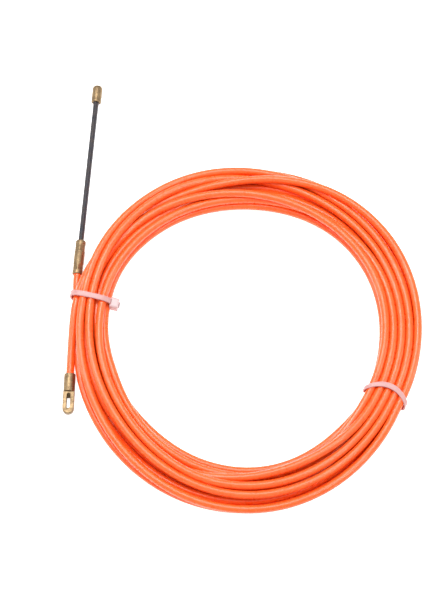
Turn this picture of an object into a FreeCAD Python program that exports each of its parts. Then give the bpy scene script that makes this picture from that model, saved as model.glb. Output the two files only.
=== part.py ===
import FreeCAD, Part
import math
import os

V = FreeCAD.Vector
UP = V(0, 0, 1)

# Tape and the coil it is laid in. Millimetres and degrees throughout.
TAPE_DIA = 4.0
COIL_R = 78.5
LAY_2 = -1.04
LAY_1_3 = 1.04
COIL_HALF_W = 11.5
COIL_H = 2 * TAPE_DIA
COIL_CORNER = 3.0
SECTIONS = 26

# Cable ties. Angles are round the coil, from +X towards +Y.
TIE_W = 2.5
TIE_T = 1.1
TIE_CORNER = 2.6
LEFT_TIE_ANGLE = 167.2
LEFT_PINCH = 3.1
LEFT_SWELL = 3.9
RIGHT_TIE_ANGLE = -26.6
RIGHT_PINCH = 1.35
RIGHT_SWELL = 0.2
TIE_SLACK = 0.15
SEAT_BITE = 0.1
TAIL_BULGE = 1.45
HEAD_W = 4.8
HEAD_L = 5.2
HEAD_T = 3.9
HEAD_UNDER_T = 3.6
TIE_END = 0.9
APERTURE_GAP = 0.2

# Pulling eye on the outer end of the tape.
EYE_ALONG = 35.9592
EYE_OUT = -0.98
EYE_TILT = 1.5
EYE_R = 2.85
EYE_L = 20.6
EYE_SLEEVE_L = 9.2
EYE_SOCKET_L = 7.0
EYE_FLAT_T = 3.2
EYE_SLOT_W = 1.7
EYE_SLOT_START = 10.2
EYE_SLOT_L = 7.6
EYE_RAMP_L = 1.8
EYE_RAMP_INSET = 0.25
CHAMFER = 0.4

# Spring leader on the inner end of the tape.
LEADER_ALONG = -10.9429
LEADER_OUT = 0.169
LEADER_TILT = 4.43
FERRULE_R = 2.65
FERRULE_L = 18.4
TAPE_SOCKET_L = 7.5
SPRING_SOCKET_L = 4.0
CRIMP_DEPTH = 0.28
CRIMPS = ((2.2, 5.4), (12.6, 16.2))
SPRING_R = 1.45
SPRING_FREE_L = 77.9
SPRING_PARTS = 7
KNUCKLE_GAP = 0.15
TIP_R = 2.6
TIP_L = 9.8
TIP_NOSE = 1.2

TAPE_R = TAPE_DIA / 2
SPRING_PITCH = SPRING_FREE_L / SPRING_PARTS


def near(angle, target, power):
    """1 at the target angle, falling smoothly to 0 at the far side of the coil."""
    half = 0.5 + 0.5 * math.cos(math.radians(angle - target))
    return half ** power


def coil_radius(angle):
    """Mean radius of the hand-laid coil, which is a little out of round."""
    a = math.radians(angle)
    return COIL_R + LAY_2 * math.cos(2 * a) + LAY_1_3 * (math.sin(a) + math.sin(3 * a))


def coil_half_width(angle):
    """Half the bundle's radial width, drawn in at both ties."""
    left = LEFT_PINCH * near(angle, LEFT_TIE_ANGLE, 4)
    return COIL_HALF_W - left - RIGHT_PINCH * near(angle, RIGHT_TIE_ANGLE, 4)


def coil_base(angle):
    """Height of the bundle's underside, which rides up over the right tie's head."""
    return (HEAD_UNDER_T - SEAT_BITE) * near(angle, RIGHT_TIE_ANGLE, 6)


def coil_height(angle):
    """Thickness of the bundle, which swells where a tie squeezes it."""
    left = LEFT_SWELL * near(angle, LEFT_TIE_ANGLE, 8)
    return COIL_H + left + RIGHT_SWELL * near(angle, RIGHT_TIE_ANGLE, 8)


def outer_point(angle):
    """Outermost point of the bundle at an angle, in plan."""
    a = math.radians(angle)
    r = coil_radius(angle) + coil_half_width(angle)
    return r * math.cos(a), r * math.sin(a)


def heading(tilt):
    """Unit vector in plan that leans from +Y towards +X by tilt."""
    t = math.radians(tilt)
    return V(math.sin(t), math.cos(t), 0)


def beside(along, out, height):
    """Point a distance round the coil from the left tie, out from its nominal outer edge."""
    a = math.radians(LEFT_TIE_ANGLE) + along / COIL_R
    r = COIL_R + COIL_HALF_W + out
    return V(r * math.cos(a), r * math.sin(a), height)


def leader_point(s, height=FERRULE_R):
    """Point on the leader's axis, s from the ferrule's tape mouth."""
    return beside(LEADER_ALONG, LEADER_OUT, height) + heading(LEADER_TILT) * s


def eye_point(s):
    """Point on the eye's axis, s from its tape mouth towards the rounded end."""
    return beside(EYE_ALONG, EYE_OUT, EYE_R) - heading(EYE_TILT) * s


def spring_joint(i):
    """Distance of bend i from the ferrule's tape mouth, i from 1."""
    return FERRULE_L + SPRING_PITCH * i


def base_centre():
    """Bottom centre of the whole object's box, in coil coordinates."""
    rim = [outer_point(a) for a in range(360)]
    eye_left = eye_point(EYE_L - EYE_R).x - EYE_R
    top = leader_point(spring_joint(SPRING_PARTS) + TIP_L).y
    x = (max(p[0] for p in rim) + min(eye_left, min(p[0] for p in rim))) / 2
    y = (top + min(p[1] for p in rim)) / 2
    return V(x, y, 0)


def rounded_rect(x0, x1, z0, z1, r):
    """Closed wire in the XZ plane with arcs at its four corners."""
    q = r * (1 - math.sqrt(0.5))
    def p(x, z):
        return V(x, 0, z)
    edges = [
        Part.makeLine(p(x0 + r, z0), p(x1 - r, z0)),
        Part.Arc(p(x1 - r, z0), p(x1 - q, z0 + q), p(x1, z0 + r)).toShape(),
        Part.makeLine(p(x1, z0 + r), p(x1, z1 - r)),
        Part.Arc(p(x1, z1 - r), p(x1 - q, z1 - q), p(x1 - r, z1)).toShape(),
        Part.makeLine(p(x1 - r, z1), p(x0 + r, z1)),
        Part.Arc(p(x0 + r, z1), p(x0 + q, z1 - q), p(x0, z1 - r)).toShape(),
        Part.makeLine(p(x0, z1 - r), p(x0, z0 + r)),
        Part.Arc(p(x0, z0 + r), p(x0 + q, z0 + q), p(x0 + r, z0)).toShape(),
    ]
    return Part.Wire(edges)


def coil_section(angle):
    """Bundle outline in the coil's radial plane at an angle."""
    r = coil_radius(angle)
    w = coil_half_width(angle)
    z = coil_base(angle)
    wire = rounded_rect(r - w, r + w, z, z + coil_height(angle), COIL_CORNER)
    wire.rotate(V(), UP, angle)
    return wire


def tie_limits(angle, floor, extra):
    """Inner face, outer face, underside and top of the space inside a tie."""
    inner = coil_radius(angle) - coil_half_width(angle) - TIE_SLACK
    outer = coil_radius(angle) + coil_half_width(angle) + TIE_SLACK + extra
    top = coil_base(angle) + coil_height(angle) + TIE_SLACK
    return inner, outer, floor, top


def across_strap(face):
    """A strap-wide solid from a face in the coil's radial plane."""
    solid = face.extrude(V(0, TIE_W, 0))
    solid.translate(V(0, -TIE_W / 2, 0))
    return solid


def strap_seat(angle, limits):
    """Everything outside a tie's opening, over the strap's width."""
    inner, outer, z0, z1 = limits
    block = Part.Face(rounded_rect(inner - 9, outer + 9, z0 - 9, z1 + 9, 1))
    opening = Part.Face(rounded_rect(*limits, TIE_CORNER))
    seat = across_strap(block.cut(opening))
    seat.rotate(V(), UP, angle)
    return seat


def coil():
    """The laid turns as one ring, drawn in where the ties' straps seat."""
    sections = [coil_section(LEFT_TIE_ANGLE + k * 360 / SECTIONS) for k in range(SECTIONS)]
    ring = Part.makeLoft(sections, True, False, True)
    ring = ring.cut(strap_seat(LEFT_TIE_ANGLE, tie_limits(LEFT_TIE_ANGLE, TIE_T, TAIL_BULGE)))
    return ring.cut(strap_seat(RIGHT_TIE_ANGLE, tie_limits(RIGHT_TIE_ANGLE, HEAD_UNDER_T, 0.0)))


def rounded_path(points):
    """Straight runs joined by tangent arcs."""
    edges = []
    radii = []
    start = points[0]
    for i in range(1, len(points) - 1):
        before = points[i] - points[i - 1]
        after = points[i + 1] - points[i]
        turn = before.getAngle(after)
        trim = 0.45 * min(before.Length, after.Length)
        radius = trim / math.tan(turn / 2)
        radii.append(round(radius, 1))
        a = points[i] - before.normalize() * trim
        b = points[i] + after.normalize() * trim
        inward = (after - before).normalize()
        mid = points[i] + inward * (radius / math.cos(turn / 2) - radius)
        edges.append(Part.LineSegment(start, a).toShape())
        edges.append(Part.Arc(a, mid, b).toShape())
        start = b
    edges.append(Part.LineSegment(start, points[-1]).toShape())
    print("bend radii mm", radii)
    return Part.Wire(edges)


def tape_tube(points):
    """Round tape swept along a route."""
    path = rounded_path(points)
    profile = Part.Wire(Part.makeCircle(TAPE_R, points[0], points[1] - points[0]))
    return path.makePipeShell([profile], True, False)


def eye_tail_route():
    """Outermost strand: over the tie, down to the floor and into the eye."""
    over = beside(-8.3233, -3.446, 2 * TAPE_DIA)
    down = beside(9.2755, -4.326, 1.875 * TAPE_DIA)
    return [over, down, eye_point(-10.7), eye_point(EYE_SOCKET_L)]


def leader_tail_route():
    """From the ferrule's socket, under the outermost strand and into the bundle."""
    under = beside(2.9525, -5.547, 0.9 * TAPE_DIA)
    return [leader_point(TAPE_SOCKET_L), leader_point(-4.6), under]


def bar(start, length, radius, direction):
    """Round bar from a point along a direction."""
    return Part.makeCylinder(radius, length, start, direction)


def tie_strap(inner, outer, z0, z1):
    """Strap bent round the bundle's section, closed through its head."""
    band = rounded_rect(inner - TIE_T, outer + TIE_T, z0 - TIE_T, z1 + TIE_T, TIE_CORNER + TIE_T)
    hole = rounded_rect(inner, outer, z0, z1, TIE_CORNER)
    return across_strap(Part.Face(band).cut(Part.Face(hole)))


def head_with_end(box, mouth, end):
    """Tie head with the strap's trimmed end standing out of its aperture."""
    edges = [e for e in box.Edges if e.Length > 1.0]
    head = box.makeFillet(0.45, edges)
    return head.cut(mouth).fuse(end)


def left_tie():
    """Tie with its head against the inner side of the bundle."""
    inner, outer, z0, z1 = tie_limits(LEFT_TIE_ANGLE, TIE_T, TAIL_BULGE)
    strap = tie_strap(inner, outer, z0, z1)
    mid = (z0 + z1) / 2
    box = Part.makeBox(HEAD_T, HEAD_W, HEAD_L, V(inner - HEAD_T, -HEAD_W / 2, mid - HEAD_L / 2))
    gap = APERTURE_GAP
    mouth = Part.makeBox(1.5, TIE_W + 2 * gap, TIE_T + 2 * gap,
                         V(inner - HEAD_T - 0.1, -TIE_W / 2 - gap, mid - TIE_T / 2 - gap))
    end = Part.makeBox(TIE_END + 2.0, TIE_W, TIE_T,
                       V(inner - HEAD_T - TIE_END, -TIE_W / 2, mid - TIE_T / 2))
    tie = strap.fuse(head_with_end(box, mouth, end)).removeSplitter()
    tie.rotate(V(), UP, LEFT_TIE_ANGLE)
    return tie


def right_tie():
    """Tie with its head underneath, so the bundle rides over it."""
    inner, outer, z0, z1 = tie_limits(RIGHT_TIE_ANGLE, HEAD_UNDER_T, 0.0)
    strap = tie_strap(inner, outer, z0, z1)
    mid = (inner + outer) / 2
    top = HEAD_UNDER_T - 2 * SEAT_BITE
    box = Part.makeBox(HEAD_L, HEAD_W, top, V(mid - HEAD_L / 2, -HEAD_W / 2, 0))
    gap = APERTURE_GAP
    mouth = Part.makeBox(TIE_T + 2 * gap, TIE_W + 2 * gap, 1.6,
                         V(mid - TIE_T / 2 - gap, -TIE_W / 2 - gap, -0.1))
    end = Part.makeBox(TIE_T, TIE_W, 2.4, V(mid - TIE_T / 2, -TIE_W / 2, 0.2))
    tie = strap.fuse(head_with_end(box, mouth, end)).removeSplitter()
    tie.rotate(V(), UP, RIGHT_TIE_ANGLE)
    return tie


def chamfered_bar(start, length, radius, direction, chamfer):
    """Round bar with both rims chamfered."""
    solid = bar(start, length, radius, direction)
    rims = [e for e in solid.Edges if isinstance(e.Curve, Part.Circle)]
    return solid.makeChamfer(chamfer, rims)


def pulling_eye():
    """Round socket, then two milled flats with a rounded end and a long slot that runs out in a
    slope at the socket's side."""
    away = heading(EYE_TILT) * -1
    body = chamfered_bar(eye_point(0), EYE_L, EYE_R, away, CHAMFER)
    nose = Part.makeCylinder(EYE_R, 2 * EYE_R, eye_point(EYE_L - EYE_R) - UP * EYE_R, UP)
    body = body.common(bar(eye_point(0), EYE_L - EYE_R, EYE_R + 1, away).fuse(nose))
    flat_z = EYE_FLAT_T / 2
    for side in (1, -1):
        block = Part.makeBox(EYE_L, 4 * EYE_R, EYE_R)
        block.translate(V(0, -2 * EYE_R, flat_z if side > 0 else -flat_z - EYE_R))
        block.rotate(V(), UP, -90 - EYE_TILT)
        block.translate(eye_point(EYE_SLEEVE_L))
        body = body.cut(block)
    body = body.cut(bar(eye_point(0), EYE_SOCKET_L, TAPE_R, away))
    first = eye_point(EYE_SLOT_START + EYE_SLOT_W / 2)
    last = eye_point(EYE_SLOT_START + EYE_SLOT_L - EYE_SLOT_W / 2)
    for p in (first, last):
        body = body.cut(Part.makeCylinder(EYE_SLOT_W / 2, 4 * EYE_R, p - UP * 2 * EYE_R, UP))
    slot = Part.makeBox((last - first).Length, EYE_SLOT_W, 4 * EYE_R)
    slot.translate(V(0, -EYE_SLOT_W / 2, -2 * EYE_R))
    slot.rotate(V(), UP, -90 - EYE_TILT)
    slot.translate(first)
    low = flat_z - EYE_RAMP_INSET
    side = [V(-CHAMFER, 0, -low), V(-CHAMFER, 0, low), V(EYE_RAMP_L, 0, EYE_RAMP_INSET - low),
            V(EYE_RAMP_L, 0, -low), V(-CHAMFER, 0, -low)]
    ramp = Part.Face(Part.makePolygon(side)).extrude(V(0, EYE_SLOT_W + CHAMFER, 0))
    ramp.translate(V(0, -(EYE_SLOT_W + CHAMFER) / 2, 0))
    ramp.rotate(V(), UP, -90 - EYE_TILT)
    ramp.translate(eye_point(EYE_SLOT_START))
    return body.cut(slot).fuse(ramp).removeSplitter()


def leader_ferrule():
    """Sleeve with a tape socket, a spring socket and two hexagonal crimps."""
    along = heading(LEADER_TILT)
    body = chamfered_bar(leader_point(0), FERRULE_L, FERRULE_R, along, CHAMFER)
    for s0, s1 in CRIMPS:
        ring = bar(leader_point(s0), s1 - s0, FERRULE_R + 1, along)
        flats = FERRULE_R - CRIMP_DEPTH
        rim = flats / math.cos(math.pi / 6)
        corners = [V(0, rim * math.cos(k * math.pi / 3), rim * math.sin(k * math.pi / 3))
                   for k in range(7)]
        prism = Part.Face(Part.makePolygon(corners)).extrude(V(s1 - s0, 0, 0))
        prism.rotate(V(), UP, 90 - LEADER_TILT)
        prism.translate(leader_point(s0))
        body = body.cut(ring.cut(prism))
    body = body.cut(bar(leader_point(0), TAPE_SOCKET_L, TAPE_R, along))
    return body.cut(bar(leader_point(FERRULE_L - SPRING_SOCKET_L), SPRING_SOCKET_L, SPRING_R, along))


def leader_tip():
    """Nose cap with a rounded end and a blind socket for the spring."""
    along = heading(LEADER_TILT)
    mouth = spring_joint(SPRING_PARTS)
    body = bar(leader_point(mouth), TIP_L, TIP_R, along)
    rims = [e for e in body.Edges if isinstance(e.Curve, Part.Circle)]
    rims.sort(key=lambda e: e.Curve.Center.y)
    body = body.makeFillet(TIP_NOSE, [rims[-1]])
    rims = [e for e in body.Edges if isinstance(e.Curve, Part.Circle)]
    rims.sort(key=lambda e: e.Curve.Center.y)
    body = body.makeChamfer(CHAMFER, [rims[0]])
    return body.cut(bar(leader_point(mouth), SPRING_SOCKET_L, SPRING_R, along))


def spring_length(i):
    """Length i of the spring leader, from 1: round at its start, hollowed at its end."""
    along = heading(LEADER_TILT)
    start = spring_joint(i - 1) - (SPRING_SOCKET_L if i == 1 else 0)
    end = spring_joint(i) + (SPRING_SOCKET_L if i == SPRING_PARTS else 0)
    body = bar(leader_point(start), end - start, SPRING_R, along)
    if i > 1:
        p = leader_point(start - SPRING_R)
        knuckle = Part.makeCylinder(SPRING_R, 4 * SPRING_R, leader_point(start) - UP * 2 * SPRING_R, UP)
        root = bar(p, SPRING_R * 1.5, SPRING_R, along).common(knuckle)
        body = body.fuse(root).removeSplitter()
    if i < SPRING_PARTS:
        r = SPRING_R + KNUCKLE_GAP
        body = body.cut(Part.makeCylinder(r, 4 * r, leader_point(end) - UP * 2 * r, UP))
    return body


def build():
    ties = {"left_tie": left_tie(), "right_tie": right_tie()}
    nodes = {
        "tape_coil": coil(),
        "tape_eye_tail": tape_tube(eye_tail_route()),
        "tape_leader_tail": tape_tube(leader_tail_route()),
        "pulling_eye": pulling_eye(),
        "leader_ferrule": leader_ferrule(),
        "leader_tip": leader_tip(),
    }
    for i in range(1, SPRING_PARTS + 1):
        nodes["leader_spring_%d" % i] = spring_length(i)
    nodes.update(ties)
    return nodes


def main():
    os.makedirs("parts", exist_ok=True)
    shift = base_centre() * -1
    for name, shape in build().items():
        shape.translate(shift)
        shape.exportStep("parts/%s.step" % name)


if __name__ == "__main__":
    main()
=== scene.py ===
import math

import bpy
import numpy as np
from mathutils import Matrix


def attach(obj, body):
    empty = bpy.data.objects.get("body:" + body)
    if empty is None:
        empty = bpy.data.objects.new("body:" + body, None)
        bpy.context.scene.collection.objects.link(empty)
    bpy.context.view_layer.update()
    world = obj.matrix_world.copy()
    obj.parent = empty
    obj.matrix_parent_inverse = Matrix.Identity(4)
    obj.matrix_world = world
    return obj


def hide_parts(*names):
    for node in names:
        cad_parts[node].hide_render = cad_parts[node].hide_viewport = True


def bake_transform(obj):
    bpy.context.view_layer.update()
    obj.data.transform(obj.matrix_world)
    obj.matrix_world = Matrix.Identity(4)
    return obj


bl_info = {
    "name": "Coiled Fish Tape",
    "version": (1, 0, 0),
    "blender": (4, 5, 0),
    "location": "View3D > Sidebar > Fish Tape",
    "description": "A hand-coiled nylon fish tape with brass fittings, spring leader and cable ties",
    "category": "Object",
}

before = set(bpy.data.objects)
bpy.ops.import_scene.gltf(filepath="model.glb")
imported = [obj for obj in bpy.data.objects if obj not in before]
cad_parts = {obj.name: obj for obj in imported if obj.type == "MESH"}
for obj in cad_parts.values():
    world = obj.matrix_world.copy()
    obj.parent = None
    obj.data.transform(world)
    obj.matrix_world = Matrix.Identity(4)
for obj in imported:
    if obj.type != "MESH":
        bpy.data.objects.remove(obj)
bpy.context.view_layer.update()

MM = 0.001

# The coil's own centre in the part's frame, and its hand-laid outline, in millimetres and degrees.
COIL_CENTRE = (0.931, -23.592)
LEFT_TIE_ANGLE = 167.2
RIGHT_TIE_ANGLE = -26.6
STRAP_T = 1.1
UNDER_HEAD = 3.6
SLACK = 0.15
TAIL_BULGE = 1.45
HEAD_BULGE = 1.1

# Powers of the superellipses that the straps follow, and that the strands fill inside them.
ROUND = 3.2
PACKED = 5.0

# The strands' settling: its steps, and in each step the share of the way that a strand moves to lie
# straight in plan and in height, to its asked place and off a neighbour, and how far it drops.
STEPS = 900
STRAIGHT_U = 0.30
STRAIGHT_Z = 0.40
FOLLOW = 0.06
PART = 0.45
DROP = 0.030

# The fittings and the leader, in millimetres and degrees. A mouth is a place in plan from the coil's
# centre, a tilt is the lean of the axis from the part's Y axis, and an R is an outer radius, which is
# also the height of the axis. Lengths run from the mouth.
LEADER_MOUTH = (-84.3, 32.0)
LEADER_TILT = 4.43
FERRULE_R = 2.65
FERRULE_L = 18.4
EYE_MOUTH = (-86.58, -20.7)
EYE_TILT = 1.5
EYE_R = 2.85
EYE_L = 20.6
EYE_SOCKET_L = 7.0
EYE_SLEEVE_L = 9.2
FLAT_HALF = 1.6
SLOT_CENTRE = 14.0
RAMP_L = 1.8
RAMP_INSET = 0.25
TIP_R = 2.6
TIP_L = 9.8
BORE_MAX = 2.3
SPRING_FREE_L = 77.9
SPRING_PARTS = 7


# ---------------------------------------------------------------- sizes and colours

class FishTapeTape(bpy.types.PropertyGroup):
    """The nylon tape and how it is laid."""
    diameter: bpy.props.FloatProperty(
        name="Diameter", description="Tape diameter", default=0.004, unit="LENGTH")
    turns: bpy.props.IntProperty(
        name="Turns", description="Whole turns in the coil", default=10)
    per_turn: bpy.props.IntProperty(
        name="Points per turn", description="Route points in each turn", default=48)
    looseness: bpy.props.FloatProperty(
        name="Looseness", description="Sideways wander of the turns between ties", default=0.0009,
        unit="LENGTH")
    colour: bpy.props.FloatVectorProperty(
        name="Colour", description="Nylon colour", subtype="COLOR", size=3, default=(0.88, 0.103, 0.013))


class FishTapeBrass(bpy.types.PropertyGroup):
    """The turned brass fittings."""
    colour: bpy.props.FloatVectorProperty(
        name="Colour", description="Clean brass", subtype="COLOR", size=3, default=(0.265, 0.183, 0.098))
    tarnish: bpy.props.FloatVectorProperty(
        name="Tarnish", description="Dulled brass", subtype="COLOR", size=3,
        default=(0.14, 0.095, 0.055))
    slot_width: bpy.props.FloatProperty(
        name="Slot width", description="Width of the eye's slot", default=0.0017, unit="LENGTH")
    slot_length: bpy.props.FloatProperty(
        name="Slot length", description="Length of the eye's slot", default=0.0076, unit="LENGTH")
    crimp_depth: bpy.props.FloatProperty(
        name="Crimp depth", description="How far the crimps press in", default=0.00028, unit="LENGTH")


class FishTapeSpring(bpy.types.PropertyGroup):
    """The close-wound spring leader."""
    radius: bpy.props.FloatProperty(
        name="Radius", description="Outer radius of the spring", default=0.00145, unit="LENGTH")
    wire: bpy.props.FloatProperty(
        name="Wire", description="Wire diameter", default=0.0005, unit="LENGTH")
    pitch: bpy.props.FloatProperty(
        name="Pitch", description="Distance from one coil to the next", default=0.00053, unit="LENGTH")
    colour: bpy.props.FloatVectorProperty(
        name="Colour", description="Oiled spring steel", subtype="COLOR", size=3,
        default=(0.07, 0.072, 0.086))


class FishTapeTies(bpy.types.PropertyGroup):
    """The nylon cable ties."""
    width: bpy.props.FloatProperty(
        name="Strap width", description="Width of the strap", default=0.0027, unit="LENGTH")
    colour: bpy.props.FloatVectorProperty(
        name="Colour", description="Natural nylon", subtype="COLOR", size=3,
        default=(0.53, 0.39, 0.39))
    # Painted light: the orange tape's glow through the translucent strap, painted into the strap's
    # colour.
    painted_tape_glow: bpy.props.FloatVectorProperty(
        name="Tint", description="Natural nylon with the orange tape showing through", subtype="COLOR",
        size=3, default=(0.50, 0.27, 0.26))


class FishTapeStage(bpy.types.PropertyGroup):
    """Floor, light and camera."""
    elevation: bpy.props.FloatProperty(
        name="Camera elevation", description="Angle above the floor", default=math.radians(70),
        subtype="ANGLE")
    distance: bpy.props.FloatProperty(
        name="Camera distance", description="From the aim point", default=0.934, unit="LENGTH")
    aim: bpy.props.FloatVectorProperty(
        name="Aim", description="Point on the floor at the middle of the view", subtype="XYZ", size=3,
        default=(-0.01537, -0.0042, 0.0))
    view_width: bpy.props.FloatProperty(
        name="View width", description="Width seen at the aim point", default=0.2136, unit="LENGTH")
    floor: bpy.props.FloatVectorProperty(
        name="Floor", description="Floor colour", subtype="COLOR", size=3, default=(0.92, 0.92, 0.92))


# ---------------------------------------------------------------- mesh helpers

def grid_faces(rows, cols, wrap_rows=False, wrap_cols=True):
    """Quads of a rows by cols grid of vertices, row after row."""
    r = np.arange(rows if wrap_rows else rows - 1)
    c = np.arange(cols if wrap_cols else cols - 1)
    r, c = np.meshgrid(r, c, indexing="ij")
    r1 = (r + 1) % rows
    c1 = (c + 1) % cols
    quads = np.stack([r * cols + c, r * cols + c1, r1 * cols + c1, r1 * cols + c], axis=-1)
    return quads.reshape(-1, 4)


def capped(rings):
    """Vertices and faces of a tube of rings, closed by one vertex at the middle of each end ring."""
    rows, cols = rings.shape[:2]
    verts = np.concatenate([rings.reshape(-1, 3), rings[:1].mean(axis=1), rings[-1:].mean(axis=1)])
    k = np.arange(cols)
    k1 = (k + 1) % cols
    first = np.stack([k1, k, np.full(cols, rows * cols)], axis=-1)
    last = (rows - 1) * cols
    end = np.stack([last + k, last + k1, np.full(cols, rows * cols + 1)], axis=-1)
    return verts, [grid_faces(rows, cols), first, end]


def outward(verts, faces):
    """The same faces, turned over as a whole if they enclose a negative volume."""
    volume = 0.0
    for f in faces:
        a = verts[f[:, 0]]
        for i in range(1, f.shape[1] - 1):
            volume += np.einsum("ij,ij->", a, np.cross(verts[f[:, i]], verts[f[:, i + 1]]))
    return faces if volume > 0 else [f[:, ::-1] for f in faces]


def joined(parts):
    """One vertex array and one face list from several shells, each facing outwards."""
    verts, faces, start = [], [], 0
    for v, f in parts:
        faces += [g + start for g in outward(v, f)]
        verts.append(v)
        start += len(v)
    return np.concatenate(verts), faces


def piece(name, verts, faces, uv=None):
    """Mesh object from millimetre vertices; uv gives one pair per vertex."""
    mesh = bpy.data.meshes.new(name)
    mesh.from_pydata((verts * MM).tolist(), [], [row for f in faces for row in f.tolist()])
    mesh.polygons.foreach_set("use_smooth", np.ones(len(mesh.polygons), dtype=bool))
    if uv is not None:
        layer = mesh.uv_layers.new(name="UVMap")
        loops = np.empty(len(mesh.loops), dtype=np.int32)
        mesh.loops.foreach_get("vertex_index", loops)
        layer.data.foreach_set("uv", uv[loops].astype(np.float32).ravel())
    mesh.update()
    obj = bpy.data.objects.new(name, mesh)
    bpy.context.scene.collection.objects.link(obj)
    return obj


def smooth_by_angle(obj, degrees):
    """Marks edges sharper than an angle, so crisp corners stay crisp under smooth shading."""
    obj.data.set_sharp_from_angle(angle=math.radians(degrees))


def heading(tilt):
    """Unit vector in plan that leans from +Y towards +X."""
    t = math.radians(tilt)
    return np.array([math.sin(t), math.cos(t), 0.0])


def coil_point(x, y, z):
    """A point given from the coil's centre, in the part's frame."""
    return np.array([x + COIL_CENTRE[0], y + COIL_CENTRE[1], z])


def leader_point(s):
    """Point on the leader's axis, s from the ferrule's tape mouth."""
    return coil_point(*LEADER_MOUTH, FERRULE_R) + heading(LEADER_TILT) * s


def eye_point(s):
    """Point on the eye's axis, s from its tape mouth towards the rounded end."""
    return coil_point(*EYE_MOUTH, EYE_R) - heading(EYE_TILT) * s


def placed(local, origin, along):
    """Local points (s along the axis, w across it in plan, h up) in the part's frame."""
    across = np.cross(np.array([0.0, 0.0, 1.0]), along)
    return (origin + local[..., :1] * along + local[..., 1:2] * across
            + local[..., 2:3] * np.array([0.0, 0.0, 1.0]))


# ---------------------------------------------------------------- the laid coil

def near(angle, target, power):
    """1 at the target angle, falling smoothly to 0 on the coil's far side."""
    return (0.5 + 0.5 * np.cos(np.radians(angle - target))) ** power


def bundle(angle):
    """Mean radius, half width, underside and top of the bundle at an angle round the coil."""
    a = np.radians(angle)
    radius = 78.5 - 1.04 * np.cos(2 * a) + 1.04 * (np.sin(a) + np.sin(3 * a))
    half = 11.5 - 3.1 * near(angle, LEFT_TIE_ANGLE, 4) - 1.35 * near(angle, RIGHT_TIE_ANGLE, 4)
    base = (UNDER_HEAD - 0.1) * near(angle, RIGHT_TIE_ANGLE, 6)
    top = base + 8 + 3.9 * near(angle, LEFT_TIE_ANGLE, 8) + 0.2 * near(angle, RIGHT_TIE_ANGLE, 8)
    return radius, half, base, top


def step(x):
    """Smooth 0 to 1 step."""
    x = np.clip(x, 0, 1)
    return x * x * (3 - 2 * x)


# Where each turn is asked to lie: millimetres outwards from the bundle's middle, and its layer, at
# six places round the coil. Fractions of a turn from the left tie, anticlockwise.
STATIONS = (0.0, 0.155, 0.312, 0.539, 0.68, 0.80)
PLACES = (
    (7.6, 10.8, 9.2, 7.8, 9.2, 8.6),
    (3.1, 6.2, 6.4, 3.8, 5.4, 5.2),
    (-1.6, 1.8, 2.2, -0.3, 1.4, 1.6),
    (-6.0, -2.6, -1.6, -4.3, -2.6, -2.6),
    (-3.0, -11.6, -6.2, -8.4, -6.0, -10.6),
    (-9.6, -7.2, -4.8, -6.8, -8.2, -5.0),
    (2.2, 4.6, -9.9, -3.2, -6.4, -8.6),
    (-5.2, -3.6, 0.4, 0.8, -0.4, 3.4),
    (-1.0, -0.4, 5.2, 4.5, 4.0, 10.4),
    (3.2, 8.4, 11.1, 7.8, 8.8, 0.2),
)
LAYERS = (
    (0.0, 0.0, 0.0, 0.0, 0.0, 0.0),
    (0.0, 0.0, 0.0, 0.0, 0.0, 0.0),
    (0.0, 0.0, 0.0, 0.0, 0.0, 0.0),
    (0.0, 0.0, 0.0, 0.0, 0.0, 0.0),
    (0.9, 0.0, 0.0, 0.0, 0.0, 0.2),
    (0.9, 0.3, 0.8, 1.0, 1.3, 2.2),
    (0.9, 0.9, 1.0, 1.0, 1.0, 1.0),
    (1.8, 1.7, 1.2, 1.0, 1.0, 1.2),
    (1.8, 2.2, 1.2, 1.0, 1.0, 1.2),
    (1.8, 1.2, 1.0, 1.0, 1.0, 1.9),
)
END_PLACE = (7.2, 1.2)


def along_stations(t, rows, last):
    """Cubic curve through the value at each station of each turn. The slope at a station is the
    harmonic mean of the slopes on its two sides, or level where they differ in sign."""
    times = (np.arange(len(rows))[:, None] + np.array(STATIONS)[None]).ravel()
    times = np.concatenate([times, [len(rows), len(rows) + 0.2]])
    values = np.concatenate([np.array(rows).ravel(), [last, last]])
    rise = np.diff(values) / np.diff(times)
    both = rise[1:] * rise[:-1]
    slope = np.zeros_like(values)
    slope[1:-1] = np.where(both > 0, 2 * both / (rise[1:] + rise[:-1] + 1e-9), 0.0)
    k = np.clip(np.searchsorted(times, t, side="right") - 1, 0, len(times) - 2)
    h = times[k + 1] - times[k]
    x = (t - times[k]) / h
    return ((2 * x ** 3 - 3 * x ** 2 + 1) * values[k] + (x ** 3 - 2 * x ** 2 + x) * h * slope[k]
            + (3 * x ** 2 - 2 * x ** 3) * values[k + 1] + (x ** 3 - x ** 2) * h * slope[k + 1])


def wander(t, amount):
    """Slow sideways drift of each turn, from a few sine waves with fixed random phases."""
    rng = np.random.default_rng(7)
    total = np.zeros_like(t)
    for waves in (0.7, 1.3, 2.1, 2.9):
        total += np.sin(2 * np.pi * (waves * t + rng.random())) / waves
    loose = 1 - near(t * 360 + LEFT_TIE_ANGLE, LEFT_TIE_ANGLE, 12)
    loose = loose - near(t * 360 + LEFT_TIE_ANGLE, RIGHT_TIE_ANGLE, 12)
    return amount * total * loose


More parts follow.
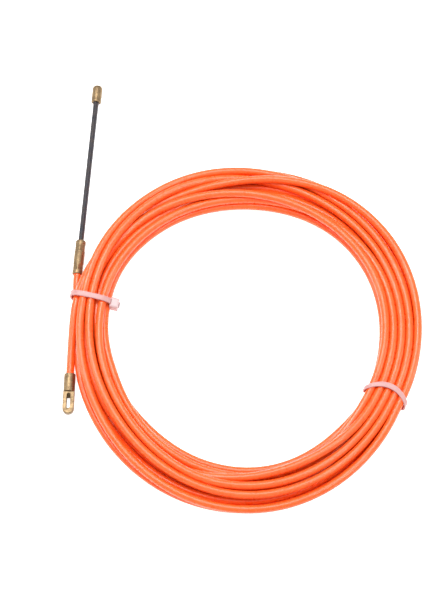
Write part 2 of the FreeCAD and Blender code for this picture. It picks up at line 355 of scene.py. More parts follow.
def lay_turns(turns, n, dia, looseness):
    """Route points of the turns. Strand centres in each cross-section of the bundle start in their
    lanes, then settle: each pulls straight along its length, drops, keeps a diameter from its
    neighbours and stays in the bundle's outline and, at the ties, inside the strap."""
    count = turns * n
    i = np.arange(count + 4)
    t = i / n
    angle = LEFT_TIE_ANGLE + 360 * t
    radius, half, base, top = bundle(angle)
    r, apart = dia / 2, dia * 1.012
    aim = along_stations(t, PLACES, END_PLACE[0]) + wander(t, looseness)
    u = aim.copy()
    z = base + r + along_stations(t, LAYERS, END_PLACE[1]) * dia * 0.87
    pinned = (i == 0) | (i >= count)
    ends = {0: (85.97, 3.35), count: (85.6, 7.76), count + 1: (85.7, 7.5), count + 2: (86.0, 4.6),
            count + 3: (87.5, 2.9)}
    for k, (rr, zz) in ends.items():
        u[k], z[k] = rr - radius[k], zz
    rows = turns + 2
    slot = np.full((rows, n), -1)
    slot.ravel()[: count + 4] = i
    used = slot >= 0
    left = near(angle, LEFT_TIE_ANGLE, 400)
    right = near(angle, RIGHT_TIE_ANGLE, 400)
    low = base + r + left * STRAP_T + 0.05
    high = np.where(left + right > 0.4, top + SLACK - r, top + 3.5 - r)
    spread = 1 - near(angle, LEFT_TIE_ANGLE, 14) - near(angle, RIGHT_TIE_ANGLE, 40)
    inner = -half + r - SLACK - 1.7 * spread - HEAD_BULGE * near(angle, LEFT_TIE_ANGLE, 40)
    outer = half - r + SLACK + 2.6 * spread + TAIL_BULGE * near(angle, LEFT_TIE_ANGLE, 60)
    free = ~pinned
    tied = left + right > 0.4
    mid_u, wide = (outer + inner) / 2, (outer - inner) / 2 + 0.05
    mid_z, tall = (low + high) / 2, (high - low) / 2 + 0.05
    for it in range(STEPS):
        settle = 1.0 if it < STEPS * 2 // 3 else 0.25
        du = np.zeros_like(u)
        dz = np.zeros_like(z)
        du[1:-1] = 0.5 * (u[2:] + u[:-2]) - u[1:-1]
        dz[1:-1] = 0.5 * (z[2:] + z[:-2]) - z[1:-1]
        u[free] += STRAIGHT_U * du[free]
        z[free] += STRAIGHT_Z * dz[free]
        u[free] += FOLLOW * settle * (aim - u)[free]
        z[free] -= DROP * settle
        gu = np.where(used, u[slot] + radius[slot], 1e3 * (np.arange(rows)[:, None] + 1))
        gz = np.where(used, z[slot], 0.0)
        eu = gu[:, None] - gu[None]
        ez = gz[:, None] - gz[None]
        dist = np.sqrt(eu ** 2 + ez ** 2) + 1e-6
        near_by = (dist < apart) & (dist > 1e-5)
        push = np.where(near_by, (apart - dist) / dist, 0.0) * PART
        fu = (push * eu).sum(axis=1)
        fz = (push * ez).sum(axis=1)
        cu = np.zeros_like(u)
        cz = np.zeros_like(z)
        cu[slot[used]] = fu[used]
        cz[slot[used]] = fz[used]
        u[free] += cu[free]
        z[free] += cz[free]
        u[free] = np.clip(u, inner, outer)[free]
        z[free] = np.clip(z, low, high)[free]
        reach = (np.abs((u - mid_u) / wide) ** PACKED + np.abs((z - mid_z) / tall) ** PACKED)
        shrink = np.where(tied & (reach > 1), reach ** (-1 / PACKED), 1.0)
        u[free] = (mid_u + (u - mid_u) * shrink)[free]
        z[free] = (mid_z + (z - mid_z) * shrink)[free]
    a = np.radians(angle[: count + 1])
    rad = (radius + u)[: count + 1]
    return np.stack([rad * np.cos(a) + COIL_CENTRE[0], rad * np.sin(a) + COIL_CENTRE[1],
                     z[: count + 1]], axis=-1)


def tape_route(p):
    """Leader tail, the turns, then the outermost strand down into the eye."""
    turns = lay_turns(p.turns, p.per_turn, p.diameter / MM, p.looseness / MM)
    start = [leader_point(7.5), leader_point(-4.6)]
    end = [coil_point(-85.2, 9.0, 7.5), eye_point(-10.7), eye_point(EYE_SOCKET_L)]
    return np.concatenate([start, turns, end])


def smooth_line(name, points):
    """The cord's own line: a quadratic NURBS with the route's points as its control points."""
    curve = bpy.data.curves.new(name, "CURVE")
    curve.dimensions = "3D"
    spline = curve.splines.new("NURBS")
    spline.points.add(len(points) - 1)
    flat = np.concatenate([points * MM, np.ones((len(points), 1))], axis=1)
    spline.points.foreach_set("co", flat.astype(np.float32).ravel())
    spline.order_u = 3
    spline.use_endpoint_u = True
    spline.resolution_u = 5
    obj = bpy.data.objects.new(name, curve)
    bpy.context.scene.collection.objects.link(obj)
    bpy.context.view_layer.update()
    mesh = bpy.data.meshes.new_from_object(obj.evaluated_get(bpy.context.evaluated_depsgraph_get()))
    line = np.empty(len(mesh.vertices) * 3)
    mesh.vertices.foreach_get("co", line)
    bpy.data.meshes.remove(mesh)
    bpy.data.objects.remove(obj)
    bpy.data.curves.remove(curve)
    line = line.reshape(-1, 3) / MM
    keep = np.concatenate([[True], np.linalg.norm(np.diff(line, axis=0), axis=1) > 1e-4])
    return line[keep]


def tube_along(line, radius, sides):
    """Round tube: circles of a radius square to the line, turned about the upright direction."""
    tangent = np.gradient(line, axis=0)
    tangent /= np.linalg.norm(tangent, axis=1, keepdims=True)
    side = np.cross(tangent, [0.0, 0.0, 1.0])
    side /= np.linalg.norm(side, axis=1, keepdims=True)
    up = np.cross(side, tangent)
    a = np.arange(sides) * 2 * np.pi / sides
    rings = (line[:, None] + radius * (np.cos(a)[None, :, None] * side[:, None]
                                       + np.sin(a)[None, :, None] * up[:, None]))
    verts, faces = capped(rings)
    run = np.concatenate([[0], np.cumsum(np.linalg.norm(np.diff(line, axis=0), axis=1))]) * MM
    around = np.abs(a / np.pi - 1)
    uv = np.stack(np.broadcast_arrays(around[None], run[:, None]), axis=-1).reshape(-1, 2)
    uv = np.concatenate([uv, [[0, 0], [0, run[-1]]]])
    return verts, faces, uv


# ---------------------------------------------------------------- turned and wound shapes

def turned(profile, sides, shape=None):
    """Surface of revolution about the s axis: each profile point (s, radius) becomes a ring.
    shape changes the radii as a function of s and the angle round the axis."""
    s = np.array([q[0] for q in profile])[:, None]
    rad = np.array([q[1] for q in profile])[:, None]
    a = (np.arange(sides) * 2 * np.pi / sides)[None]
    rad = rad * np.ones_like(a)
    if shape is not None:
        rad = shape(s, rad, a)
    rings = np.stack([s * np.ones_like(a), rad * np.cos(a), rad * np.sin(a)], axis=-1)
    return rings


def rounded_corner(s0, r0, s1, r1, steps, bulge):
    """Points from (s0, r0) to (s1, r1) on a quarter ellipse; bulge picks which side it bows to."""
    q = np.linspace(0, np.pi / 2, steps)
    if bulge:
        return [(s0 + (s1 - s0) * (1 - math.cos(x)), r0 + (r1 - r0) * math.sin(x)) for x in q]
    return [(s0 + (s1 - s0) * math.sin(x), r0 + (r1 - r0) * (1 - math.cos(x))) for x in q]


def hex_crimp(windows, radius, depth):
    """Radii limited to a hexagon inside each window of s, with soft ends, above the bore."""
    def shape(s, rad, a):
        flats = (radius - depth) / np.cos((a + np.pi / 6) % (np.pi / 3) - np.pi / 6)
        pressed = np.minimum(rad, flats)
        amount = np.zeros_like(s)
        for s0, s1 in windows:
            amount = np.maximum(amount, step((s - s0) / 0.5 + 0.5) * step((s1 - s) / 0.5 + 0.5))
        outside = rad > BORE_MAX
        return np.where(outside, rad + (pressed - rad) * amount, rad)
    return shape


def wall_round_window(centre, outer, inner, half, sides, steps, crisp):
    """Plate with a window: at each angle the wall runs between the window's edge and the plate's
    edge, and its section is a superellipse, so the faces are flat and the edges eased."""
    a = np.arange(sides) * 2 * np.pi / sides
    v = np.arange(steps) * 2 * np.pi / steps
    cv = np.sign(np.cos(v)) * np.abs(np.cos(v)) ** crisp
    sv = np.sign(np.sin(v)) * np.abs(np.sin(v)) ** crisp
    ro, ri = outer(a)[:, None], inner(a)[:, None]
    rad = 0.5 * (ro + ri) + 0.5 * (ro - ri) * cv[None]
    h = half * sv[None] * np.ones_like(rad)
    grid = np.stack([centre + rad * np.cos(a)[:, None], rad * np.sin(a)[:, None], h], axis=-1)
    return grid.reshape(-1, 3), [grid_faces(sides, steps, wrap_rows=True)]


def run_out_wedge(start, half_width, half):
    """Wedge that closes the end of a slot: its height falls evenly from the upper face at the start
    to just over the lower face at the far end."""
    s = np.array([start - 0.4, start + RAMP_L])[:, None, None]
    a = np.array([-half_width, half_width])[None, :, None]
    top = np.array([half, RAMP_INSET - half])[:, None, None]
    h = np.concatenate([np.full_like(top, -half), top], axis=2)
    s, a, h = np.broadcast_arrays(s, a, h)
    verts = np.stack([s, a, h], axis=-1).reshape(-1, 3)
    faces = [(0, 1, 3, 2), (4, 6, 7, 5), (0, 4, 5, 1), (2, 3, 7, 6), (0, 2, 6, 4), (1, 5, 7, 3)]
    return verts, [np.array(faces)]


def half_round_edge(r, start, end):
    """Distance from the window's centre to a strip of half width r, square at start and round at
    end, in each direction."""
    def edge(a):
        c, s = np.cos(a), np.abs(np.sin(a)) + 1e-9
        side = r / s
        d = end - r
        ring = d * c + np.sqrt(np.maximum(r * r - (d * s) ** 2, 0))
        reach = np.where(side * c > d, ring, side)
        return np.where(c < 0, np.minimum(reach, start / np.maximum(-c, 1e-9)), reach)
    return edge


def stadium_edge(r, half_length):
    """Distance from its centre to a slot with round ends, in each direction."""
    def edge(a):
        c, s = np.abs(np.cos(a)), np.abs(np.sin(a)) + 1e-9
        d = half_length - r
        ring = d * c + np.sqrt(np.maximum(r * r - (d * s) ** 2, 0))
        return np.where(r / s * c > d, ring, r / s)
    return edge


def box_edge(a_half, b_half, power):
    """Distance from its centre to a superellipse with nearly straight sides, in each direction."""
    def edge(a):
        reach = np.abs(np.cos(a) / a_half) ** power + np.abs(np.sin(a) / b_half) ** power
        return reach ** (-1 / power)
    return edge


def wound_wire(s0, s1, spring):
    """Close-wound round wire: its centre goes round the leader's axis once per pitch, and each
    section is a circle in the plane of the axis and the direction out from it."""
    wire = spring.wire / MM / 2
    mean = spring.radius / MM - wire
    pitch = spring.pitch / MM
    steps = max(2, int((s1 - s0) / pitch * 14))
    s = np.linspace(s0, s1, steps + 1)[:, None]
    a = 2 * np.pi * s / pitch
    b = (np.arange(7) * 2 * np.pi / 7)[None]
    rad = mean + wire * np.cos(b)
    local = np.stack([s + wire * np.sin(b), rad * np.cos(a), rad * np.sin(a)], axis=-1)
    return capped(placed(local, leader_point(0), heading(LEADER_TILT)))


# ---------------------------------------------------------------- materials

def group(name, inputs, outputs):
    """Empty shader node group with named sockets."""
    tree = bpy.data.node_groups.new(name, "ShaderNodeTree")
    for label, kind, default in inputs:
        socket = tree.interface.new_socket(name=label, in_out="INPUT", socket_type=kind)
        if default is not None:
            socket.default_value = default
    for label, kind in outputs:
        tree.interface.new_socket(name=label, in_out="OUTPUT", socket_type=kind)
    return tree, tree.nodes.new("NodeGroupInput"), tree.nodes.new("NodeGroupOutput")


def math_node(tree, operation, a, b=None, clamp=False):
    """Math node whose inputs are sockets or numbers."""
    node = tree.nodes.new("ShaderNodeMath")
    node.operation = operation
    node.use_clamp = clamp
    for i, value in enumerate((a, b)):
        if value is None:
            continue
        if isinstance(value, (int, float)):
            node.inputs[i].default_value = value
        else:
            tree.links.new(value, node.inputs[i])
    return node.outputs[0]


def noise(tree, vector, scale, detail=3.0, rough=0.5):
    """Noise value read at a vector."""
    node = tree.nodes.new("ShaderNodeTexNoise")
    node.inputs["Scale"].default_value = scale
    node.inputs["Detail"].default_value = detail
    node.inputs["Roughness"].default_value = rough
    tree.links.new(vector, node.inputs["Vector"])
    return node.outputs["Fac"]


def stretched(tree, vector, scale):
    """Vector scaled along its axes."""
    node = tree.nodes.new("ShaderNodeMapping")
    node.inputs["Scale"].default_value = scale
    tree.links.new(vector, node.inputs["Vector"])
    return node.outputs["Vector"]


def blotch_group():
    """Patchy mask: two sizes of noise, pushed towards 0 and 1 by a contrast."""
    tree, gi, go = group(
        "Patches",
        [("Vector", "NodeSocketVector", None), ("Scale", "NodeSocketFloat", 200.0),
         ("Amount", "NodeSocketFloat", 0.5)],
        [("Mask", "NodeSocketFloat")])
    coarse = tree.nodes.new("ShaderNodeTexNoise")
    fine = tree.nodes.new("ShaderNodeTexNoise")
    for node, factor in ((coarse, 1.0), (fine, 4.3)):
        tree.links.new(gi.outputs["Vector"], node.inputs["Vector"])
        tree.links.new(math_node(tree, "MULTIPLY", gi.outputs["Scale"], factor), node.inputs["Scale"])
        node.inputs["Detail"].default_value = 4
    both = math_node(tree, "MULTIPLY", coarse.outputs["Fac"], fine.outputs["Fac"])
    lifted = math_node(tree, "MULTIPLY", math_node(tree, "SUBTRACT", both, 0.18), 6.0, clamp=True)
    tree.links.new(math_node(tree, "MULTIPLY", lifted, gi.outputs["Amount"]), go.inputs["Mask"])
    return tree


def scratch_group():
    """Fine lines: noise read on a vector that is stretched hard along one axis."""
    tree, gi, go = group(
        "Fine lines",
        [("Vector", "NodeSocketVector", None), ("Strength", "NodeSocketFloat", 1.0)],
        [("Lines", "NodeSocketFloat")])
    a = noise(tree, gi.outputs["Vector"], 1.0, 2.0, 0.6)
    b = noise(tree, stretched(tree, gi.outputs["Vector"], (2.7, 2.7, 2.7)), 1.0, 2.0, 0.6)
    both = math_node(tree, "ADD", math_node(tree, "MULTIPLY", a, 0.6),
                     math_node(tree, "MULTIPLY", b, 0.4))
    tree.links.new(math_node(tree, "MULTIPLY", both, gi.outputs["Strength"]), go.inputs["Lines"])
    return tree


def use_group(tree, made, **values):
    """Places a node group in a material with its own values."""
    node = tree.nodes.new("ShaderNodeGroup")
    node.node_tree = made
    for name, value in values.items():
        if isinstance(value, (int, float)):
            node.inputs[name].default_value = value
        else:
            tree.links.new(value, node.inputs[name])
    return node.outputs[0]


def between(tree, mask, low, high):
    """Number that runs from low to high as the mask goes from 0 to 1."""
    return math_node(tree, "ADD", math_node(tree, "MULTIPLY", mask, high - low), low)


def colour_mix(tree, mask, a, b):
    """Colour that runs from a to b as the mask goes from 0 to 1; either may be a socket."""
    node = tree.nodes.new("ShaderNodeMix")
    node.data_type = "RGBA"
    tree.links.new(mask, node.inputs["Factor"])
    for value, socket in ((a, node.inputs[6]), (b, node.inputs[7])):
        if isinstance(value, tuple):
            socket.default_value = value
        else:
            tree.links.new(value, socket)
    return node.outputs[2]


def bump(tree, height, strength, distance):
    """Bump from a height in metres."""
    node = tree.nodes.new("ShaderNodeBump")
    node.inputs["Strength"].default_value = strength
    node.inputs["Distance"].default_value = distance
    tree.links.new(height, node.inputs["Height"])
    return node.outputs["Normal"]


def new_material(name):
    """Node material with its tree, shader and texture coordinates."""
    material = bpy.data.materials.new(name)
    material.use_nodes = True
    tree = material.node_tree
    shader = tree.nodes["Principled BSDF"]
    coords = tree.nodes.new("ShaderNodeTexCoord")
    return material, tree, shader, coords


def shared(name, make):
    """A node group made once and kept."""
    return bpy.data.node_groups.get(name) or make()


def rgba(colour, factor=1.0):
    """Four-part colour from a property."""
    return (colour[0] * factor, colour[1] * factor, colour[2] * factor, 1.0)


def nylon_material(p):
    """Glossy drawn nylon: faint draw lines along the length, slow shade changes, light scuffs."""
    material, tree, shader, coords = new_material("Orange nylon")
    uv = coords.outputs["UV"]
    lines = use_group(tree, shared("Fine lines", scratch_group),
                      Vector=stretched(tree, uv, (42.0, 9.0, 1.0)), Strength=1.0)
    scuffs = use_group(tree, shared("Patches", blotch_group), Vector=coords.outputs["Object"],
                       Scale=130.0, Amount=0.5)
    slow = noise(tree, stretched(tree, uv, (0.4, 14.0, 1.0)), 1.0, 2.0)
    base = colour_mix(tree, slow, rgba(p.colour, 0.9), rgba(p.colour, 1.05))
    pale = (min(1.0, p.colour[0] * 1.05), p.colour[1] * 1.5, p.colour[2] * 2.2, 1.0)
    worn = math_node(tree, "MULTIPLY", scuffs, 0.35)
    tree.links.new(colour_mix(tree, worn, base, pale), shader.inputs["Base Color"])
    tree.links.new(between(tree, scuffs, 0.27, 0.38), shader.inputs["Roughness"])
    shader.inputs["Specular IOR Level"].default_value = 0.32
    shader.inputs["Subsurface Weight"].default_value = 0.36
    shader.inputs["Subsurface Radius"].default_value = (1.0, 0.2, 0.05)
    shader.inputs["Subsurface Scale"].default_value = 0.0035
    shader.inputs["Coat Weight"].default_value = 0.35
    shader.inputs["Coat Roughness"].default_value = 0.08
    tree.links.new(bump(tree, lines, 0.25, 0.00006), shader.inputs["Normal"])
    return material


def brass_material(p):
    """Turned brass: tool rings round each fitting, brown tarnish in patches, brighter rubbed spots."""
    material, tree, shader, coords = new_material("Turned brass")
    obj = coords.outputs["Object"]
    rings = use_group(tree, shared("Fine lines", scratch_group),
                      Vector=stretched(tree, obj, (60.0, 5200.0, 60.0)), Strength=1.0)
    patches = use_group(tree, shared("Patches", blotch_group), Vector=obj, Scale=420.0, Amount=0.75)
    mottled = colour_mix(tree, patches, rgba(p.colour), rgba(p.tarnish))
    tree.links.new(mottled, shader.inputs["Base Color"])
    tree.links.new(between(tree, patches, 0.40, 0.58), shader.inputs["Roughness"])
    shader.inputs["Metallic"].default_value = 0.9
    tree.links.new(bump(tree, rings, 0.5, 0.00005), shader.inputs["Normal"])
    return material


def steel_material(p):
    """Oiled spring wire: dark, with brownish patches and a fine bumpy grain."""
    material, tree, shader, coords = new_material("Oiled spring steel")
    obj = coords.outputs["Object"]
    patches = use_group(tree, shared("Patches", blotch_group), Vector=obj, Scale=300.0, Amount=0.8)
    warm = (p.colour[0] * 1.7, p.colour[1] * 1.4, p.colour[2] * 1.1, 1.0)
    tree.links.new(colour_mix(tree, patches, rgba(p.colour), warm), shader.inputs["Base Color"])
    tree.links.new(between(tree, patches, 0.30, 0.5), shader.inputs["Roughness"])
    shader.inputs["Metallic"].default_value = 0.85
    fine = noise(tree, stretched(tree, obj, (900.0, 900.0, 900.0)), 4.0, 2.0)
    tree.links.new(bump(tree, fine, 0.2, 0.00003), shader.inputs["Normal"])
    return material


def tie_material(p):
    """Natural nylon: milky, with a faint moulded grain; the orange tape's glow through the strap is
    painted in.
    """
    material, tree, shader, coords = new_material("Natural nylon")
    obj = coords.outputs["Object"]
    cloudy = noise(tree, obj, 380.0, 3.0)
    over_tape = tree.nodes.new("ShaderNodeSeparateXYZ")
    tree.links.new(coords.outputs["UV"], over_tape.inputs[0])
    # Painted light: the strap gets the orange tape's glow through the nylon painted into its colour; the
    # head and the trimmed end keep the plain nylon colour.
    painted_tape_glow = colour_mix(tree, over_tape.outputs["X"], rgba(p.colour), rgba(p.painted_tape_glow))
    dull = colour_mix(tree, over_tape.outputs["X"], rgba(p.colour, 0.86), rgba(p.painted_tape_glow, 0.9))
    tree.links.new(colour_mix(tree, cloudy, dull, painted_tape_glow), shader.inputs["Base Color"])
    tree.links.new(between(tree, cloudy, 0.30, 0.44), shader.inputs["Roughness"])
    shader.inputs["Subsurface Weight"].default_value = 0.35
    shader.inputs["Subsurface Radius"].default_value = (1.0, 0.7, 0.6)
    shader.inputs["Subsurface Scale"].default_value = 0.0012
    grain = noise(tree, obj, 2600.0, 2.0)
    tree.links.new(bump(tree, grain, 0.2, 0.00004), shader.inputs["Normal"])
    return material


# ---------------------------------------------------------------- operators

class FISHTAPE_OT_eye(bpy.types.Operator):
    """Brass pulling eye: round sleeve, step, flat with a long slot."""
    bl_idname = "fishtape.eye"
    bl_label = "Pulling eye"

    def execute(self, context):
        p = context.scene.fish_brass
        r = EYE_R
        sleeve = [(EYE_SOCKET_L, 0.0), (EYE_SOCKET_L, 2.0), (0.25, 2.02)]
        sleeve += rounded_corner(0.25, 2.02, 0.0, 2.25, 4, False)
        sleeve += rounded_corner(0.0, 2.45, 0.4, r, 5, True)
        sleeve += [(s, r) for s in np.linspace(0.8, 8.7, 12)]
        sleeve += rounded_corner(EYE_SLEEVE_L - 0.3, r, EYE_SLEEVE_L, r - 0.3, 5, False)
        sleeve += [(EYE_SLEEVE_L, 1.2), (EYE_SLEEVE_L, 0.0)]
        shaft = capped(placed(turned(sleeve, 64), eye_point(0), -heading(EYE_TILT)))
        half_width, half_length = p.slot_width / MM / 2, p.slot_length / MM / 2
        outer = half_round_edge(r, SLOT_CENTRE - EYE_SLEEVE_L + 0.2, EYE_L - SLOT_CENTRE)
        inner = stadium_edge(half_width, half_length)
        v, f = wall_round_window(SLOT_CENTRE, outer, inner, FLAT_HALF, 224, 40, 0.22)
        flat = (placed(v, eye_point(0), -heading(EYE_TILT)), f)
        v, f = run_out_wedge(SLOT_CENTRE - half_length, half_width + 0.15, FLAT_HALF - RAMP_INSET)
        run_out = (placed(v, eye_point(0), -heading(EYE_TILT)), f)
        obj = piece("pulling_eye_brass", *joined([shaft, flat, run_out]))
        smooth_by_angle(obj, 34)
        obj.data.materials.append(brass())
        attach(obj, "coiled_tape")
        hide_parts("pulling_eye")
        return {"FINISHED"}


class FISHTAPE_OT_tape(bpy.types.Operator):
    """The nylon tape: ten turns and its two tails, one continuous line."""
    bl_idname = "fishtape.tape"
    bl_label = "Nylon tape"

    def execute(self, context):
        p = context.scene.fish_tape
        line = smooth_line("tape line", tape_route(p))
        verts, faces, uv = tube_along(line, p.diameter / MM / 2, 20)
        obj = piece("nylon_tape", verts, outward(verts, faces), uv)
        smooth_by_angle(obj, 50)
        obj.data.materials.append(nylon_material(p))
        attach(obj, "coiled_tape")
        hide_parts("tape_coil", "tape_eye_tail", "tape_leader_tail")
        return {"FINISHED"}


class FISHTAPE_OT_ferrule(bpy.types.Operator):
    """Brass ferrule: tape mouth, two hexagonal crimps, spring mouth."""
    bl_idname = "fishtape.ferrule"
    bl_label = "Leader ferrule"

    def execute(self, context):
        p = context.scene.fish_brass
        r, end = FERRULE_R, FERRULE_L
        profile = [(7.5, 0.0), (7.5, 2.0), (0.2, 2.01)]
        profile += rounded_corner(0.2, 2.01, 0.0, 2.15, 4, False)
        profile += rounded_corner(0.0, 2.3, 0.4, r, 5, True)
        profile += [(s, r) for s in np.linspace(0.7, end - 1.1, 70)]
        profile += rounded_corner(end - 0.9, r, end, r - 0.7, 6, False)
        profile += [(end, 1.65), (end - 0.1, 1.5), (end - 4.0, 1.5), (end - 4.0, 0.0)]
        shape = hex_crimp(((2.2, 5.4), (12.6, 16.2)), r, p.crimp_depth / MM)
        body = capped(placed(turned(profile, 72, shape), leader_point(0), heading(LEADER_TILT)))
        obj = piece("leader_ferrule_brass", *joined([body]))
        smooth_by_angle(obj, 34)
        obj.data.materials.append(brass())
        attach(obj, "coiled_tape")
        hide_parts("leader_ferrule")
        return {"FINISHED"}


class FISHTAPE_OT_spring(bpy.types.Operator):
    """Spring leader: one wound wire in lengths that each span one hinge, from the ferrule to the tip."""
    bl_idname = "fishtape.spring"
    bl_label = "Spring leader"

    def execute(self, context):
        p = context.scene.fish_spring
        material = steel_material(p)
        pitch = SPRING_FREE_L / SPRING_PARTS
        joint = [FERRULE_L + pitch * i for i in range(SPRING_PARTS + 1)]
        in_socket, bend = 3.5, 4.5
        for i in range(1, SPRING_PARTS):
            last = i == SPRING_PARTS - 1
            s0 = FERRULE_L - in_socket if i == 1 else joint[i] - pitch / 2
            s1 = joint[SPRING_PARTS] + in_socket if last else joint[i] + pitch / 2
            obj = piece("spring_length_%d" % i, *joined([wound_wire(s0, s1, p)]))
            obj.data.materials.append(material)
            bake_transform(obj)
            nodes = ["leader_spring_%d" % i] + (["leader_spring_7"] if last else [])
            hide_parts(*nodes)
        return {"FINISHED"}


class FISHTAPE_OT_tip(bpy.types.Operator):
    """Brass nose cap on the end of the spring."""
    bl_idname = "fishtape.tip"
    bl_label = "Leader tip"

    def execute(self, context):
        r, length = TIP_R, TIP_L
        mouth = FERRULE_L + SPRING_FREE_L
        profile = [(4.0, 0.0), (4.0, 1.5), (0.3, 1.5), (0.0, 1.65)]
        profile += rounded_corner(0.0, 2.2, 0.5, r, 5, True)
        profile += [(s, r) for s in np.linspace(0.9, length - 2.2, 40)]
        profile += rounded_corner(length - 2.0, r, length, r - 1.9, 12, False)
        profile += [(length, 0.5), (length, 0.0)]
        shape = hex_crimp(((1.0, 2.6),), r, 0.16)
        body = capped(placed(turned(profile, 72, shape), leader_point(mouth), heading(LEADER_TILT)))
        obj = piece("leader_tip_brass", *joined([body]))
        smooth_by_angle(obj, 34)
        obj.data.materials.append(brass())
        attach(obj, "leader_length_7")
        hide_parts("leader_tip")
        return {"FINISHED"}


def strap_section(width):
    """Cross section of a strap, sideways and through its thickness: a flat strip with eased edges."""
    v = np.arange(28) * 2 * np.pi / 28
    w = np.sign(np.cos(v)) * np.abs(np.cos(v)) ** 0.35 * width / 2
    h = np.sign(np.sin(v)) * np.abs(np.sin(v)) ** 0.45 * STRAP_T / 2
    return w, h


def strap_loop(angle, limits, width, bow=0.0, lean=0.0):
    """Strap round the bundle: its inner line is a superellipse, and its section is a flat strip with
    eased edges and two low rails along the outside. Over the top it bows sideways by bow in the
    middle and by lean at the outer end."""
    inner, outer, z0, z1 = limits
    cu, cz = (inner + outer) / 2, (z0 + z1) / 2
    au, az = (outer - inner) / 2 + STRAP_T / 2, (z1 - z0) / 2 + STRAP_T / 2
    a = np.arange(220) * 2 * np.pi / 220
    c, s = np.cos(a), np.sin(a)
    line_u = np.sign(c) * np.abs(c) ** (2 / ROUND) * au
    line_z = np.sign(s) * np.abs(s) ** (2 / ROUND) * az
    du = np.roll(line_u, -1) - np.roll(line_u, 1)
    dz = np.roll(line_z, -1) - np.roll(line_z, 1)
    size = np.hypot(du, dz)
    nu, nz = dz / size, -du / size
    w, h = strap_section(width)
    h = np.where(h > 0, h - 0.10 * (1 - step((np.abs(w) - 0.55 * width / 2) / 0.3)), h)
    pu = cu + line_u[:, None] + nu[:, None] * h[None]
    pz = cz + line_z[:, None] + nz[:, None] * h[None]
    x = np.clip((pu - cu) / au, -1, 1)
    over = step((pz - z0) / (z1 - z0))
    pw = w[None] + over * (bow * (1 - x ** 2) + lean * x)
    return around_coil(np.stack([pu, pw, pz], axis=-1).reshape(-1, 3), angle), [
        grid_faces(len(a), len(w), wrap_rows=True)]


def around_coil(local, angle):
    """Local points (radius, sideways, height) at an angle round the coil, in the part's frame."""
    a = math.radians(angle)
    out = np.array([math.cos(a), math.sin(a), 0.0])
    side = np.array([-math.sin(a), math.cos(a), 0.0])
    up = np.array([0.0, 0.0, 1.0])
    return coil_point(0, 0, 0) + local[:, :1] * out + local[:, 1:2] * side + local[:, 2:] * up


def strap_end(length, width):
    """Trimmed end of a strap: a strip with eased edges, s from 0 to its cut face."""
    s = np.concatenate([[0], np.linspace(0, length, 6), [length]])
    w, h = strap_section(width)
    rings = np.stack(np.broadcast_arrays(s[:, None], w[None], h[None]), axis=-1)
    return capped(rings)


class FISHTAPE_OT_ties(bpy.types.Operator):
    """Both cable ties: strap, head with its opening, and the trimmed end."""
    bl_idname = "fishtape.ties"
    bl_label = "Cable ties"

    def execute(self, context):
        p = context.scene.fish_ties
        width = p.width / MM
        material = tie_material(p)
        radius, half, base, top = bundle(LEFT_TIE_ANGLE)
        limits = (radius - half - SLACK - HEAD_BULGE, radius + half + SLACK + TAIL_BULGE,
                  STRAP_T, top + SLACK)
        mid = (limits[2] + limits[3]) / 2
        half_head = 2.15
        v, f = wall_round_window(0.0, box_edge(2.9, 2.8, 5), box_edge(0.85, 1.5, 8), half_head,
                                 128, 36, 0.28)
        head = np.stack([limits[0] - half_head - v[:, 2], v[:, 1], mid + v[:, 0]], axis=-1)
        ev, ef = strap_end(5.6, width)
        end = np.stack([limits[0] + 0.6 - ev[:, 0], ev[:, 1], mid + ev[:, 2]], axis=-1)
        shells = [strap_loop(LEFT_TIE_ANGLE, limits, width),
                  (around_coil(head, LEFT_TIE_ANGLE), f), (around_coil(end, LEFT_TIE_ANGLE), ef)]
        self.finish("left_tie_nylon", shells, "left_tie", material)

        radius, half, base, top = bundle(RIGHT_TIE_ANGLE)
        limits = (radius - half - SLACK, radius + half + SLACK, UNDER_HEAD, top + SLACK)
        mid = (limits[0] + limits[1]) / 2
        half_head = 1.7
        v, f = wall_round_window(0.0, box_edge(2.6, 2.4, 7), box_edge(0.85, 1.5, 8), half_head,
                                 128, 36, 0.28)
        head = np.stack([mid + v[:, 0], v[:, 1], half_head + v[:, 2]], axis=-1)
        ev, ef = strap_end(2.9, width)
        end = np.stack([mid + ev[:, 2], ev[:, 1], 3.1 - ev[:, 0]], axis=-1)
        shells = [strap_loop(RIGHT_TIE_ANGLE, limits, width, 5.0, 0.9),
                  (around_coil(head, RIGHT_TIE_ANGLE), f), (around_coil(end, RIGHT_TIE_ANGLE), ef)]
        self.finish("right_tie_nylon", shells, "right_tie", material)
        return {"FINISHED"}

    def finish(self, name, shells, node, material):
        counts = [len(v) for v, f in shells]
        # UV X is 1 on the strap, where the orange tape's glow is painted into the colour, and 0 on the
        # head and the trimmed end.
        over_tape = np.repeat([1.0] + [0.0] * (len(shells) - 1), counts)
        obj = piece(name, *joined(shells), uv=np.stack([over_tape, np.zeros_like(over_tape)], axis=-1))
        smooth_by_angle(obj, 40)
        obj.data.materials.append(material)
        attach(obj, "coiled_tape")
        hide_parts(node)


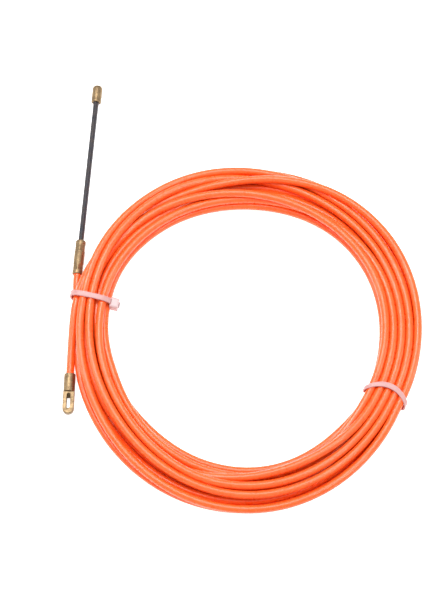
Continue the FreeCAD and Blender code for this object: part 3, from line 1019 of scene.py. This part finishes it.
class FISHTAPE_OT_stage(bpy.types.Operator):
    """Plain floor, soft light and the camera."""
    bl_idname = "fishtape.stage"
    bl_label = "Stage"

    def execute(self, context):
        p = context.scene.fish_stage
        scene = context.scene
        scene.view_settings.view_transform = "Standard"
        mesh = bpy.data.meshes.new("floor")
        q, z = 3.0, -0.0001
        mesh.from_pydata([(-q, -q, z), (q, -q, z), (q, q, z), (-q, q, z)], [], [(0, 1, 2, 3)])
        floor = bpy.data.objects.new("floor", mesh)
        scene.collection.objects.link(floor)
        material, _, shader, _ = new_material("Pale floor")
        shader.inputs["Base Color"].default_value = rgba(p.floor)
        shader.inputs["Roughness"].default_value = 0.9
        shader.inputs["Emission Color"].default_value = rgba(p.floor)
        shader.inputs["Emission Strength"].default_value = 0.75
        floor.data.materials.append(material)
        world = bpy.data.worlds.new("soft room")
        world.use_nodes = True
        background = world.node_tree.nodes["Background"]
        background.inputs["Color"].default_value = (1.0, 1.0, 1.0, 1.0)
        background.inputs["Strength"].default_value = 0.8
        scene.world = world
        self.panel("overhead", (-0.2, 0.35, 1.3), (1.1, 0.8), 14.0)
        self.panel("key", (-0.55, 0.65, 1.35), (0.12, 0.8), 5.0)
        self.panel("fill", (0.6, -0.35, 1.35), (0.12, 0.8), 4.0)
        self.panel("left", (-1.1, 0.1, 0.7), (0.3, 1.0), 3.0)
        self.panel("right", (1.1, 0.1, 0.7), (0.3, 1.0), 3.0)
        cam = bpy.data.cameras.new("camera")
        cam.sensor_fit = "HORIZONTAL"
        cam.sensor_width = 36.0
        cam.lens = 36.0 * p.distance / p.view_width
        cam.clip_start = 0.01
        obj = bpy.data.objects.new("camera", cam)
        aim = np.array(p.aim)
        e = p.elevation
        obj.location = aim + p.distance * np.array([0.0, -math.cos(e), math.sin(e)])
        obj.rotation_euler = (math.pi / 2 - e, 0.0, 0.0)
        scene.collection.objects.link(obj)
        scene.camera = obj
        return {"FINISHED"}

    def panel(self, name, place, size, power):
        """Soft rectangular light that faces the object."""
        light = bpy.data.lights.new(name, "AREA")
        light.shape = "RECTANGLE"
        light.size, light.size_y = size
        light.energy = power
        obj = bpy.data.objects.new(name, light)
        obj.location = place
        away = -np.array(place) / np.linalg.norm(place)
        yaw = math.atan2(away[1], away[0]) - math.pi / 2
        obj.rotation_euler = (math.acos(-away[2]), 0.0, yaw)
        bpy.context.scene.collection.objects.link(obj)


class FISHTAPE_PT_sidebar(bpy.types.Panel):
    """Lists the pieces in the sidebar."""
    bl_idname = "FISHTAPE_PT_sidebar"
    bl_label = "Fish Tape"
    bl_space_type = "VIEW_3D"
    bl_region_type = "UI"
    bl_category = "Fish Tape"

    def draw(self, context):
        for name, settings in SETTINGS:
            box = self.layout.box()
            group_of = getattr(context.scene, name)
            for key in settings.__annotations__:
                box.prop(group_of, key)
        for op in OPERATORS:
            self.layout.operator(op.bl_idname)


SETTINGS = (("fish_tape", FishTapeTape), ("fish_brass", FishTapeBrass), ("fish_spring", FishTapeSpring),
            ("fish_ties", FishTapeTies), ("fish_stage", FishTapeStage))
OPERATORS = (FISHTAPE_OT_stage, FISHTAPE_OT_eye, FISHTAPE_OT_tape, FISHTAPE_OT_ferrule,
             FISHTAPE_OT_spring, FISHTAPE_OT_tip, FISHTAPE_OT_ties)


def brass():
    """The brass material, made once for all three fittings."""
    return bpy.data.materials.get("Turned brass") or brass_material(bpy.context.scene.fish_brass)


def register():
    for name, settings in SETTINGS:
        bpy.utils.register_class(settings)
        setattr(bpy.types.Scene, name, bpy.props.PointerProperty(type=settings))
    for cls in OPERATORS + (FISHTAPE_PT_sidebar,):
        bpy.utils.register_class(cls)


def unregister():
    for cls in (FISHTAPE_PT_sidebar,) + OPERATORS[::-1]:
        bpy.utils.unregister_class(cls)
    for name, settings in SETTINGS[::-1]:
        delattr(bpy.types.Scene, name)
        bpy.utils.unregister_class(settings)


def main():
    register()
    for op in OPERATORS:
        category, name = op.bl_idname.split(".")
        getattr(getattr(bpy.ops, category), name)()


if __name__ == "__main__":
    main()
